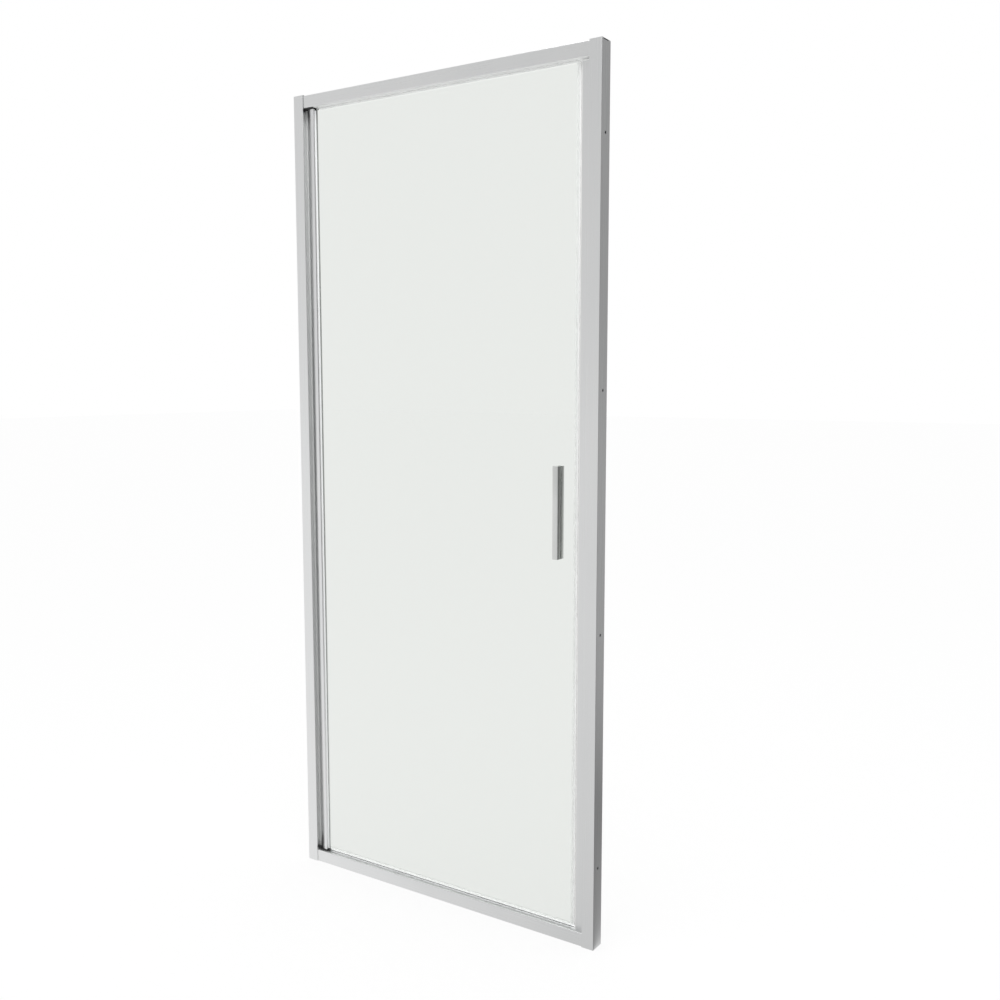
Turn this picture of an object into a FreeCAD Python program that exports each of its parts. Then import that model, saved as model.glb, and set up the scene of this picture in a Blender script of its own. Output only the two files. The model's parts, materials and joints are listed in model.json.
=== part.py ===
import FreeCAD, Part
import math
import os
import re
import Sketcher
from FreeCAD import Rotation, Vector

# Framed pivot shower door for an 800 mm opening, in millimetres.
# X runs along the door from the hinge side (-) to the handle side (+), Y runs through the door from the
# outside (-) to the shower (+), and Z is up. The origin is at floor level, halfway between the two walls,
# in the middle plane of the glass.

SIZES = {
    # whole door, from wall to wall and from the floor to the caps
    "overall_width": 808.0,
    "overall_height": 1850.0,
    # wall profiles: channels screwed to the walls, open towards the door
    "profile_depth": 35.5,
    "profile_face": 28.0,
    "profile_wall": 1.6,
    "edge_rounding": 0.5,
    "run_over": 1.0,
    # close fits of screws in their holes and of soft pieces in their seats, and the room left at screw tips
    "screw_fit": 0.05,
    "seal_fit": 0.1,
    "tip_gap": 0.3,
    "wall_hole_radius": 3.0,
    "wall_hole_pitch": 500.0,
    # telescoping of the inner frame in the wall profiles
    "adjust_room": 10.4,
    "adjust_travel": 7.0,
    "slide_gap": 0.3,
    "clamp_pitch": 600.0,
    "clamp_inset": 3.5,
    "clamp_radius": 1.9,
    "clamp_head_radius": 3.6,
    "clamp_head_height": 1.6,
    "clamp_depth": 8.0,
    "clamp_slot_gap": 0.4,
    "snap_cap_wall": 0.8,
    # caps in the tops of the wall profiles
    "cap_plate": 1.2,
    "cap_tab": 2.4,
    "cap_leg": 14.0,
    "cap_leg_thickness": 2.5,
    "cap_tab_front": 5.0,
    "cap_tab_back": 26.0,
    "cap_fit": 0.1,
    # inner frame: top rail and sill
    "frame_drop": 1.5,
    "rail_height": 27.5,
    "sill_height": 29.0,
    "rail_wall": 1.5,
    "track_slot": 8.0,
    "drain_slot": 3.0,
    "weep_length": 20.0,
    "weep_width": 4.0,
    "weep_pitch": 250.0,
    "weep_rise": 6.0,
    # jambs, between the rail and the sill
    "jamb_inset": 0.5,
    "jamb_back_groove": 12.0,
    "jamb_back_depth": 3.5,
    "jamb_wall": 1.5,
    "port_inset": 6.0,
    "port_offset": 10.5,
    "port_radius": 1.8,
    "nose_reach": 22.0,
    "nose_thickness": 8.0,
    "magnet_groove_width": 5.0,
    "magnet_groove_depth": 3.0,
    "magnet_flange": 1.5,
    # corner screws, down through the rail lips and up through the sill lips into the jambs
    "corner_screw_radius": 1.75,
    "corner_head_radius": 3.2,
    "corner_head_height": 2.2,
    "corner_screw_grip": 20.0,
    "corner_hole_radius": 2.2,
    "access_radius": 4.0,
    # seal strip that hangs from the rail's slot over the glass
    "strip_width": 6.0,
    "strip_drop": 5.5,
    "strip_flange": 2.5,
    "strip_lip": 1.2,
    # seal on the hinge jamb, beside the stile's round back
    "gap_seal_offset": 3.6,
    "gap_seal_blade": 1.2,
    "gap_seal_root": 2.0,
    "gap_seal_root_depth": 2.0,
    "gap_seal_clearance": 0.6,
    # hinge stile
    "pivot_inset": 37.5,
    "stile_radius": 8.85,
    "stile_width": 15.2,
    "stile_nose": 6.0,
    "stile_crown": 30.0,
    "stile_bore_radius": 4.6,
    "swing_gap": 0.7,
    "end_gap": 0.3,
    "glass_rebate": 9.2,
    # pivot blocks, pins, bushes, washers and bearings
    "block_plate": 1.5,
    "block_spigot_radius": 4.5,
    "block_spigot_length": 25.0,
    "block_screw_radius": 2.0,
    "block_screw_depth": 12.0,
    "block_screw_sink": 0.5,
    "pin_radius": 3.0,
    "pin_seat": 18.0,
    "pin_reach": 12.0,
    "pin_clearance": 0.05,
    "bearing_plate": 1.5,
    "bearing_overhang": 0.8,
    "bearing_side_gap": 0.3,
    "boss_radius": 8.0,
    "boss_height": 16.0,
    "bush_radius": 5.0,
    "bush_length": 12.0,
    "washer_radius": 7.0,
    "thrust_gap": 0.1,
    "washer_seat": 1.0,
    "bearing_fit": 0.05,
    "bearing_screw_reach": 11.0,
    "bearing_screw_offset": 5.8,
    "bearing_screw_radius": 1.25,
    "bearing_screw_length": 9.0,
    "bearing_hole_radius": 1.4,
    "bearing_sink": 1.2,
    "bearing_sink_taper": 44.0,
    # glass and its gasket
    "glass_thickness": 6.0,
    "gasket_wall": 1.2,
    "gasket_lip": 3.2,
    "top_gap": 0.8,
    "glass_rise": 5.5,
    # closing-edge seal with its magnet
    "closing_gap": 0.5,
    "seal_head": 5.5,
    "seal_leg": 5.5,
    "seal_wall": 1.2,
    "magnet_width": 5.4,
    "magnet_depth": 3.4,
    "magnet_skin": 0.8,
    # drip seal under the glass
    "drip_leg": 5.5,
    "drip_web": 1.5,
    "drip_fin": 1.0,
    "drip_clearance": 1.0,
    "deflector_reach": 2.5,
    # handle: one bar on each face of the glass, bolted through it
    "handle_inset": 101.0,
    "handle_height": 922.0,
    "handle_width": 14.0,
    "handle_length": 195.0,
    "handle_depth": 10.9,
    "handle_edge": 1.0,
    "handle_pad": 0.5,
    "handle_pad_inset": 0.5,
    "handle_bolt_pitch": 140.0,
    "handle_bolt_radius": 2.9,
    "handle_bolt_grip": 8.0,
    "handle_bolt_hole": 3.0,
    "handle_head_radius": 4.2,
    "handle_head_height": 4.0,
    "handle_head_sink": 5.5,
    "handle_plug_height": 1.0,
    "handle_plug_radius": 4.4,
    "sleeve_radius": 5.9,
    "glass_hole_radius": 6.0,
}

PLACES = {
    "half_width": "overall_width / 2",
    "half_depth": "profile_depth / 2",
    "flange_tip": "half_width - profile_face",
    "channel_floor": "half_width - profile_wall",
    "flange_inside": "half_depth - profile_wall",
    "frame_side": "half_depth - profile_wall - slide_gap",
    "frame_end": "channel_floor - adjust_room",
    "jamb_face": "flange_tip + jamb_inset",
    "frame_top": "overall_height - frame_drop",
    "rail_underside": "frame_top - rail_height",
    "port_x": "frame_end - port_inset",
    "clamp_x": "frame_end - clamp_inset",
    "clamp_seat": "half_depth + slide_gap",
    "clamp_slot_radius": "clamp_radius + clamp_slot_gap",
    "pivot_x": "pivot_inset - half_width",
    "stile_side": "pivot_x + stile_width",
    "sweep_radius": "hypot(stile_width; stile_radius)",
    "cove_radius": "sweep_radius + swing_gap",
    "bearing_nose_x": "pivot_x - cove_radius + bearing_side_gap + stile_radius",
    "bearing_side": "stile_side + bearing_overhang",
    "bearing_screw_x": "pivot_x + bearing_screw_reach",
    "washer_thickness": "washer_seat + end_gap - thrust_gap",
    "seal_start": "pivot_x + cove_radius + swing_gap",
    "strip_side": "strip_width / 2",
    "slot_side": "track_slot / 2",
    "drain_side": "drain_slot / 2",
    "stile_low": "sill_height + bearing_plate + end_gap",
    "stile_high": "rail_underside - bearing_plate - end_gap",
    "glass_side": "glass_thickness / 2",
    "rubber_side": "glass_side + gasket_wall",
    "glass_left": "stile_side - glass_rebate + gasket_wall + seal_fit",
    "glass_low": "sill_height + glass_rise",
    "glass_high": "rail_underside - strip_drop - top_gap",
    "nose_tip": "flange_tip - nose_reach",
    "nose_side": "nose_thickness / 2",
    "nose_top": "rail_underside - strip_drop - seal_fit",
    "strike_face": "nose_tip - magnet_flange",
    "door_edge": "strike_face - closing_gap",
    "glass_right": "door_edge - seal_head",
    "edge_seal_left": "glass_right - seal_leg",
    "seal_side": "glass_side + seal_wall",
    "drip_low": "sill_height + drip_clearance",
    "drip_floor": "glass_low - drip_web",
    "drip_top": "glass_low + drip_leg",
    "handle_x": "half_width - handle_inset",
    "handle_seat": "glass_side + handle_pad",
    "handle_back": "handle_seat + handle_depth",
}

WALL_HOLE_STEPS = (-1.5, -0.5, 0.5, 1.5)
CLAMP_STEPS = (-1, 0, 1)
WEEP_STEPS = (-1, 0, 1)

QUARTER_TURN = math.pi / 2
SAME_PLACE = 0.01
PARALLEL = 0.999

doc = FreeCAD.newDocument("PivotShowerDoor")
numbers = {}


def formula(text, own=""):
    """The text with every size and place written as a reference to its cell."""
    def cell(match):
        name = match.group(0)
        if name in SIZES:
            return "Sizes." + name
        if name in PLACES:
            return own + name
        return name
    return re.sub(r"[a-z]\w*", cell, text).lstrip("+ ")


def bound(text):
    """A formula for any object outside the two sheets."""
    return formula(text, own="Places.")


def amount(text):
    """What a sum of products of sizes, places and numbers comes to."""
    total = 0.0
    for sign, product in re.findall(r"([+-]?)\s*([^+-]+)", text):
        value = -1.0 if sign == "-" else 1.0
        for operator, word in re.findall(r"([*/]?)\s*([\w.]+)", product):
            number = float(word) if word[0].isdigit() else numbers[word]
            value = value / number if operator == "/" else value * number
        total += value
    return total


def mirrored(text):
    """The same distance on the other side of zero: every term changes its sign."""
    signed = text if text.startswith("-") else "+" + text
    return signed.translate(str.maketrans("+-", "-+")).lstrip("+")


def spread(middle, pitch, steps):
    """The distances that lie the given numbers of pitches from the middle."""
    return [f"{middle} {'-' if step < 0 else '+'} {abs(step)} * {pitch}" for step in steps]


def on_side(side, text):
    return mirrored(text) if side == "left" else text


def fill_sheet(label, cells):
    """One row per value: its name in column A and its content, under that name, in column B."""
    sheet = doc.addObject("Spreadsheet::Sheet", label)
    for row, (name, content) in enumerate(cells.items(), start=1):
        sheet.set(f"A{row}", name)
        sheet.set(f"B{row}", content)
        sheet.setAlias(f"B{row}", name)
    doc.recompute()
    for name in cells:
        numbers[name] = float(sheet.get(name))


fill_sheet("Sizes", {name: str(size) for name, size in SIZES.items()})
fill_sheet("Places", {name: "=" + formula(text) for name, text in PLACES.items()})


# ---------------------------------------------------------------- sketches and features

def new_body(label, height="", upside_down=False):
    body = doc.addObject("PartDesign::Body", label)
    body.Label = label
    if upside_down:
        body.Placement.Rotation = Rotation(Vector(1, 0, 0), 180)
    if height:
        body.setExpression("Placement.Base.z", bound(height))
    return body


def new_sketch(body, role, offset=""):
    """A sketch on one of the body's own origin planes, moved along the plane's normal."""
    plane = next(item for item in body.Origin.OriginFeatures if item.Role == role)
    sketch = body.newObject("Sketcher::SketchObject", body.Label + "_sketch")
    sketch.AttachmentSupport = [(plane, "")]
    sketch.MapMode = "FlatFace"
    if offset:
        sketch.setExpression("AttachmentOffset.Base.z", bound(offset))
    return sketch


def drive(sketch, kind, *rest):
    """A dimension whose value follows a formula, which is the last argument."""
    *items, text = rest
    index = sketch.addConstraint(Sketcher.Constraint(kind, *items, amount(text)))
    sketch.setExpression(f"Constraints[{index}]", bound(text))


def place_point(sketch, line, end, x, y):
    for kind, axis, text in (("DistanceX", -2, x), ("DistanceY", -1, y)):
        if text == "0":
            sketch.addConstraint(Sketcher.Constraint("PointOnObject", line, end, axis))
        else:
            drive(sketch, kind, -1, 1, line, end, text)


def add_outline(sketch, points):
    """A closed outline of straight lines through the given corners."""
    first = sketch.GeometryCount
    corners = [Vector(amount(x), amount(y), 0) for x, y in points]
    count = len(corners)
    for number, corner in enumerate(corners):
        sketch.addGeometry(Part.LineSegment(corner, corners[(number + 1) % count]), False)
    for number, (x, y) in enumerate(points):
        following = first + (number + 1) % count
        sketch.addConstraint(Sketcher.Constraint("Coincident", first + number, 2, following, 1))
        place_point(sketch, first + number, 1, x, y)


def rectangle(x_low, x_high, y_low, y_high):
    return [(x_low, y_low), (x_high, y_low), (x_high, y_high), (x_low, y_high)]


def add_circle(sketch, x, y, radius):
    centre = Vector(amount(x), amount(y), 0)
    circle = sketch.addGeometry(Part.Circle(centre, Vector(0, 0, 1), amount(radius)), False)
    place_point(sketch, circle, 3, x, y)
    drive(sketch, "Radius", circle, radius)


def add_bullet(sketch, centre_x, radius, side_x):
    """A half circle about (centre_x, 0) on the left, closed by two flats and a straight right side."""
    x, r, side = amount(centre_x), amount(radius), amount(side_x)
    half = Part.Circle(Vector(x, 0, 0), Vector(0, 0, 1), r)
    arc = sketch.addGeometry(Part.ArcOfCircle(half, QUARTER_TURN, 3 * QUARTER_TURN), False)
    low = sketch.addGeometry(Part.LineSegment(Vector(x, -r, 0), Vector(side, -r, 0)), False)
    right = sketch.addGeometry(Part.LineSegment(Vector(side, -r, 0), Vector(side, r, 0)), False)
    high = sketch.addGeometry(Part.LineSegment(Vector(side, r, 0), Vector(x, r, 0)), False)
    for rule in (("Tangent", arc, 2, low, 1), ("Tangent", high, 2, arc, 1), ("Coincident", low, 2, right, 1),
                 ("Coincident", right, 2, high, 1), ("Horizontal", low), ("Horizontal", high),
                 ("Vertical", right)):
        sketch.addConstraint(Sketcher.Constraint(*rule))
    place_point(sketch, arc, 3, centre_x, "0")
    drive(sketch, "Radius", arc, radius)
    drive(sketch, "DistanceX", -1, 1, right, 1, side_x)


def add_stile_outline(sketch):
    """Round back about the pivot, a nose that runs into a flat crown in front, and a straight side by the glass."""
    x, r, side = amount("pivot_x"), amount("stile_radius"), amount("stile_side")
    nose, crown = amount("stile_nose"), amount("stile_crown")
    nose_x = x - r + nose
    run = math.sqrt((crown - nose) ** 2 - (crown - r) ** 2)
    meeting = math.pi + math.atan2(crown - r, run)
    arcs = []
    for centre_x, centre_y, size, start, end in (
            (x, 0, r, QUARTER_TURN, math.pi), (nose_x, 0, nose, math.pi, meeting),
            (nose_x + run, crown - r, crown, meeting, 3 * QUARTER_TURN)):
        circle = Part.Circle(Vector(centre_x, centre_y, 0), Vector(0, 0, 1), size)
        arcs.append(sketch.addGeometry(Part.ArcOfCircle(circle, start, end), False))
    back, front, top = arcs
    corners = [Vector(nose_x + run, -r, 0), Vector(side, -r, 0), Vector(side, r, 0), Vector(x, r, 0)]
    low, right, high = [sketch.addGeometry(Part.LineSegment(*pair), False) for pair in zip(corners, corners[1:])]
    for rule in (("Tangent", high, 2, back, 1), ("Tangent", back, 2, front, 1), ("Tangent", front, 2, top, 1),
                 ("Tangent", top, 2, low, 1), ("Coincident", low, 2, right, 1), ("Coincident", right, 2, high, 1),
                 ("Horizontal", low), ("Horizontal", high), ("Vertical", right),
                 ("PointOnObject", front, 3, -1)):
        sketch.addConstraint(Sketcher.Constraint(*rule))
    place_point(sketch, back, 3, "pivot_x", "0")
    for arc, size in ((back, "stile_radius"), (front, "stile_nose"), (top, "stile_crown")):
        drive(sketch, "Radius", arc, size)
    drive(sketch, "DistanceX", -1, 1, right, 1, "stile_side")
    drive(sketch, "DistanceY", -1, 1, low, 2, "-stile_radius")


def add_slot(sketch, x_low, x_high, y, radius):
    """A slot with round ends, whose end circles have their centres at x_low and x_high."""
    low, high, level, r = amount(x_low), amount(x_high), amount(y), amount(radius)
    ends = []
    for x, start in ((low, QUARTER_TURN), (high, -QUARTER_TURN)):
        circle = Part.Circle(Vector(x, level, 0), Vector(0, 0, 1), r)
        ends.append(sketch.addGeometry(Part.ArcOfCircle(circle, start, start + math.pi), False))
    first, second = ends
    below = sketch.addGeometry(Part.LineSegment(Vector(low, level - r, 0), Vector(high, level - r, 0)), False)
    above = sketch.addGeometry(Part.LineSegment(Vector(high, level + r, 0), Vector(low, level + r, 0)), False)
    for rule in (("Tangent", first, 2, below, 1), ("Tangent", below, 2, second, 1),
                 ("Tangent", second, 2, above, 1), ("Tangent", above, 2, first, 1)):
        sketch.addConstraint(Sketcher.Constraint(*rule))
    place_point(sketch, first, 3, x_low, y)
    drive(sketch, "DistanceX", -1, 1, second, 3, x_high)
    drive(sketch, "Radius", first, radius)


def pad(body, sketch, length, both_ways=False, back=False):
    feature = body.newObject("PartDesign::Pad", body.Label + "_pad")
    feature.Profile = sketch
    feature.Reversed = back
    if both_ways:
        feature.SideType = "Symmetric"
    feature.setExpression("Length", bound(length))
    doc.recompute()
    return feature


def cut(body, sketch, length=""):
    """Cuts the sketch both ways, for half the length each, or through everything where none is given."""
    before = body.Tip.Shape.Volume
    pocket = body.newObject("PartDesign::Pocket", body.Label + "_pocket")
    pocket.Profile = sketch
    pocket.SideType = "Symmetric"
    if length:
        pocket.setExpression("Length", bound(length))
    else:
        pocket.Type = "ThroughAll"
    doc.recompute()
    if not pocket.Shape.Volume < before:
        raise ValueError(f"a pocket in {body.Label} removes nothing")


def dress_edges(body, kind, size, chosen):
    """Rounds or chamfers the chosen edges of what the body is so far."""
    base = body.Tip
    names = [f"Edge{i}" for i, edge in enumerate(base.Shape.Edges, start=1) if chosen(edge)]
    feature = body.newObject("PartDesign::" + kind, body.Label + "_edges")
    feature.Base = (base, names)
    feature.setExpression("Radius" if kind == "Fillet" else "Size", bound(size))
    doc.recompute()


def runs_along(edge, direction):
    if edge.Curve.TypeId != "Part::GeomLine":
        return False
    return abs(edge.tangentAt(edge.FirstParameter).dot(direction)) > PARALLEL


def at(value, text):
    return abs(value - amount(text)) < SAME_PLACE


# ---------------------------------------------------------------- wall profiles and their caps

def wall_profile(side):
    """U channel with its web on the wall. The slots in its inner flange are for the clamp screws."""
    body = new_body(f"{side}_wall_profile")
    section = [
        ("half_width", "-half_depth"), ("flange_tip", "-half_depth"), ("flange_tip", "-flange_inside"),
        ("channel_floor", "-flange_inside"), ("channel_floor", "flange_inside"),
        ("flange_tip", "flange_inside"), ("flange_tip", "half_depth"), ("half_width", "half_depth"),
    ]
    sketch = new_sketch(body, "XY_Plane")
    add_outline(sketch, [(on_side(side, x), y) for x, y in section])
    pad(body, sketch, "overall_height")
    dress_edges(body, "Fillet", "edge_rounding", lambda edge: runs_along(edge, Vector(0, 0, 1))
                and at(abs(edge.CenterOfMass.y), "half_depth"))
    holes = new_sketch(body, "YZ_Plane")
    for level in spread("overall_height / 2", "wall_hole_pitch", WALL_HOLE_STEPS):
        add_circle(holes, "0", level, "wall_hole_radius")
    cut(body, holes)
    notch = new_sketch(body, "YZ_Plane")
    add_outline(notch, rectangle("cap_tab_front - half_depth", "cap_tab_back - half_depth",
                                 "overall_height - cap_tab", "overall_height + run_over"))
    cut(body, notch)
    # the frame only comes out of the left profile, and the right one goes both ways on the frame
    ends = ("clamp_x - adjust_travel", "clamp_x + adjust_travel")
    if side == "left":
        ends = ("-clamp_x", "adjust_travel - clamp_x")
    slots = new_sketch(body, "XZ_Plane", "-half_depth")
    for level in clamp_levels():
        add_slot(slots, *ends, level, "clamp_slot_radius")
    cut(body, slots, "4 * profile_wall")
    return body


def clamp_levels():
    return spread("overall_height / 2", "clamp_pitch", CLAMP_STEPS)


def top_cap(side):
    """Plug in the top of a wall profile: a plate over the channel, a tab in the web and a leg down it."""
    body = new_body(f"{side}_top_cap")
    parts = (
        (rectangle("flange_tip + cap_fit", "channel_floor - cap_fit", "cap_fit - flange_inside",
                   "flange_inside - cap_fit"), "cap_plate"),
        (rectangle("channel_floor - cap_leg_thickness", "half_width", "cap_tab_front - half_depth + cap_fit",
                   "cap_tab_back - half_depth - cap_fit"), "cap_tab - cap_fit"),
        (rectangle("channel_floor - cap_leg_thickness", "channel_floor - cap_fit",
                   "cap_tab_front - half_depth + cap_fit", "cap_tab_back - half_depth - cap_fit"), "cap_leg"),
    )
    for corners, height in parts:
        sketch = new_sketch(body, "XY_Plane", "overall_height")
        add_outline(sketch, [(on_side(side, x), y) for x, y in corners])
        pad(body, sketch, height, back=True)
    return body


# ---------------------------------------------------------------- inner frame

def rail_section(slot, lip_face, lip_back, crown_inside, crown):
    """Box section with a slot in the middle of its lipped side. The four levels run from lips to crown."""
    return [
        ("-frame_side", lip_face), (f"-{slot}", lip_face), (f"-{slot}", lip_back),
        ("rail_wall - frame_side", lip_back), ("rail_wall - frame_side", crown_inside),
        ("frame_side - rail_wall", crown_inside), ("frame_side - rail_wall", lip_back),
        (slot, lip_back), (slot, lip_face), ("frame_side", lip_face),
        ("frame_side", crown), ("-frame_side", crown),
    ]


def corner_places():
    return [(x, y) for x in ("-port_x", "port_x") for y in ("-port_offset", "port_offset")]


def bearing_screw_places():
    return [("bearing_screw_x", "-bearing_screw_offset"), ("bearing_screw_x", "bearing_screw_offset")]


def frame_rail(label, height, foot, lips_up):
    body = new_body(label, foot)
    slot, levels = "slot_side", ("0", "rail_wall", f"{height} - rail_wall", height)
    lip_face, crown = ("", height)
    if lips_up:
        slot, levels = "drain_side", (height, f"{height} - rail_wall", "rail_wall", "0")
        lip_face, crown = (height, "")
    section = new_sketch(body, "YZ_Plane")
    add_outline(section, rail_section(slot, *levels))
    pad(body, section, "2 * frame_end", both_ways=True)
    dress_edges(body, "Fillet", "2 * edge_rounding", lambda edge: runs_along(edge, Vector(1, 0, 0))
                and at(abs(edge.CenterOfMass.y), "frame_side"))
    openings = new_sketch(body, "XY_Plane", lip_face)
    add_circle(openings, "pivot_x", "0", "boss_radius + bearing_fit")
    for x, y in bearing_screw_places():
        add_circle(openings, x, y, "bearing_screw_radius + screw_fit")
    for x, y in corner_places():
        add_circle(openings, x, y, "corner_hole_radius")
    cut(body, openings, "4 * rail_wall")
    access = new_sketch(body, "XY_Plane", crown)
    for x, y in corner_places():
        add_circle(access, x, y, "access_radius")
    cut(body, access, "4 * rail_wall")
    return body


def bottom_sill():
    """The rail's section turned over, with a narrow drain slot, and weep slots on the shower side."""
    body = frame_rail("bottom_sill", "sill_height", "", lips_up=True)
    weeps = new_sketch(body, "XZ_Plane", "-frame_side")
    for step in WEEP_STEPS:
        add_slot(weeps, f"{step} * weep_pitch - weep_length / 2", f"{step} * weep_pitch + weep_length / 2",
                 "weep_rise", "weep_width / 2")
    cut(body, weeps, "4 * rail_wall")
    return body


def clamp_holes(body, side):
    """Threaded holes in a jamb's back, from the height of the sill."""
    holes = new_sketch(body, "XZ_Plane", "-frame_side")
    for level in clamp_levels():
        add_circle(holes, on_side(side, "clamp_x"), f"{level} - sill_height", "clamp_radius + screw_fit")
    cut(body, holes, "2 * clamp_depth")


def jamb(label, side):
    """Outer part of a jamb: the block that slides in the wall profile, with two screw ports."""
    body = new_body(label, "sill_height")
    section = new_sketch(body, "XY_Plane")
    block = rectangle("jamb_face", "frame_end", "-frame_side", "frame_side")
    add_outline(section, [(on_side(side, x), y) for x, y in block])
    pad(body, section, "rail_underside - sill_height")
    groove = new_sketch(body, "XY_Plane")
    cutout = rectangle("frame_end - jamb_back_depth", "frame_end + run_over", "-jamb_back_groove / 2",
                       "jamb_back_groove / 2")
    add_outline(groove, [(on_side(side, x), y) for x, y in cutout])
    cut(body, groove)
    ports = new_sketch(body, "XY_Plane")
    for y in ("-port_offset", "port_offset"):
        add_circle(ports, on_side(side, "port_x"), y, "port_radius")
    cut(body, ports)
    clamp_holes(body, side)
    return body


def hinge_jamb():
    """Jamb with a round cove about the pivot, in which the stile's corner swings."""
    body = jamb("hinge_jamb", "left")
    cove = new_sketch(body, "XY_Plane")
    add_circle(cove, "pivot_x", "0", "cove_radius")
    cut(body, cove)
    root = new_sketch(body, "XY_Plane")
    add_outline(root, rectangle("pivot_x - cove_radius - gap_seal_root_depth",
                                "pivot_x - cove_radius + run_over",
                                "gap_seal_offset - gap_seal_root / 2 - seal_fit",
                                "gap_seal_offset + gap_seal_root / 2 + seal_fit"))
    cut(body, root)
    return body


def strike_jamb():
    """Hollow jamb with a flat nose in the plane of the glass, grooved at its tip for the magnet strip."""
    body = jamb("strike_jamb", "right")
    nose = new_sketch(body, "XY_Plane")
    add_outline(nose, rectangle("nose_tip", "jamb_face", "-nose_side", "nose_side"))
    pad(body, nose, "nose_top - sill_height")
    groove = new_sketch(body, "XY_Plane")
    add_outline(groove, rectangle("nose_tip - run_over", "nose_tip + magnet_groove_depth",
                                  "-magnet_groove_width / 2", "magnet_groove_width / 2"))
    cut(body, groove)
    chambers = new_sketch(body, "XY_Plane")
    add_outline(chambers, rectangle("nose_tip + magnet_groove_depth + jamb_wall", "jamb_face - jamb_wall",
                                    "jamb_wall - nose_side", "nose_side - jamb_wall"))
    add_outline(chambers, rectangle("jamb_face + jamb_wall", "frame_end - jamb_back_depth - jamb_wall",
                                    "port_radius + jamb_wall - port_offset",
                                    "port_offset - port_radius - jamb_wall"))
    cut(body, chambers)
    return body


def strike_magnet_strip():
    """Magnet strip: a flange over the tip of the strike jamb's nose and a stem in its groove."""
    body = new_body("strike_magnet_strip", "sill_height")
    stem = "magnet_groove_width / 2 - seal_fit"
    points = [
        ("strike_face", "-nose_side"), ("nose_tip", "-nose_side"), ("nose_tip", mirrored(stem)),
        ("nose_tip + magnet_groove_depth - seal_fit", mirrored(stem)),
        ("nose_tip + magnet_groove_depth - seal_fit", stem), ("nose_tip", stem),
        ("nose_tip", "nose_side"), ("strike_face", "nose_side"),
    ]
    sketch = new_sketch(body, "XY_Plane", "seal_fit")
    add_outline(sketch, points)
    pad(body, sketch, "nose_top - sill_height - 2 * seal_fit")
    return body


def top_seal_strip():
    """Strip snapped into the rail's slot, with a blade that hangs down over the edge of the glass."""
    body = new_body("top_seal_strip", "rail_underside")
    neck, barb = "slot_side - seal_fit", "slot_side + strip_flange"
    lip = "rail_wall + seal_fit"
    half = [
        ("strip_side", "-strip_drop"), ("strip_side", "0"), (neck, "0"), (neck, lip), (barb, lip),
        (barb, f"{lip} + strip_lip"),
    ]
    section = new_sketch(body, "YZ_Plane", "seal_start")
    add_outline(section, half + [(mirrored(y), z) for y, z in reversed(half)])
    pad(body, section, "jamb_face - seal_start - seal_fit")
    return body


def hinge_gap_seal():
    """Soft blade between the hinge jamb and the round back of the stile."""
    body = new_body("hinge_gap_seal", "sill_height")
    root = "gap_seal_root / 2"
    blade = "gap_seal_blade / 2"
    back, front = "pivot_x - cove_radius - gap_seal_root_depth + seal_fit", "pivot_x - cove_radius"
    tip = "pivot_x - stile_radius - gap_seal_clearance"
    middle = "gap_seal_offset"
    points = [
        (back, f"{middle} - {root}"), (front, f"{middle} - {root}"), (front, f"{middle} - {blade}"),
        (tip, f"{middle} - {blade}"), (tip, f"{middle} + {blade}"), (front, f"{middle} + {blade}"),
        (front, f"{middle} + {root}"), (back, f"{middle} + {root}"),
    ]
    sketch = new_sketch(body, "XY_Plane", "bearing_plate + end_gap")
    add_outline(sketch, points)
    pad(body, sketch, "rail_underside - sill_height - 2 * bearing_plate - 2 * end_gap")
    return body


def pivot_bearing(label, foot, upside_down):
    """Plate under the rail, or on the sill, with a boss that goes inside it and holds the bush."""
    body = new_body(label, foot, upside_down)
    plate = new_sketch(body, "XY_Plane", "-bearing_plate")
    add_bullet(plate, "bearing_nose_x", "stile_radius", "bearing_side")
    pad(body, plate, "bearing_plate")
    boss = new_sketch(body, "XY_Plane")
    add_circle(boss, "pivot_x", "0", "boss_radius")
    pad(body, boss, "boss_height")
    bore = new_sketch(body, "XY_Plane", "-bearing_plate")
    add_circle(bore, "pivot_x", "0", "bush_radius + bearing_fit")
    cut(body, bore, "2 * washer_seat + 2 * bush_length + 2 * bearing_fit")
    seat = new_sketch(body, "XY_Plane", "-bearing_plate")
    add_circle(seat, "pivot_x", "0", "washer_radius + bearing_fit")
    cut(body, seat, "2 * washer_seat")
    holes = new_sketch(body, "XY_Plane", "-bearing_plate")
    for x, y in bearing_screw_places():
        add_circle(holes, x, y, "bearing_hole_radius")
    cut(body, holes, "4 * bearing_plate")
    dress_edges(body, "Chamfer", "bearing_sink", lambda edge: edge.Curve.TypeId == "Part::GeomCircle"
                and at(edge.Curve.Radius, "bearing_hole_radius")
                and at(edge.CenterOfMass.z, "-bearing_plate"))
    return body


def ring(label, foot, upside_down, start, outer, inner, height):
    """A plain ring about the pivot axis, from a start level above the bearing's face."""
    body = new_body(label, foot, upside_down)
    sketch = new_sketch(body, "XY_Plane", start)
    add_circle(sketch, "pivot_x", "0", outer)
    add_circle(sketch, "pivot_x", "0", inner)
    pad(body, sketch, height)
    return body


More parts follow.
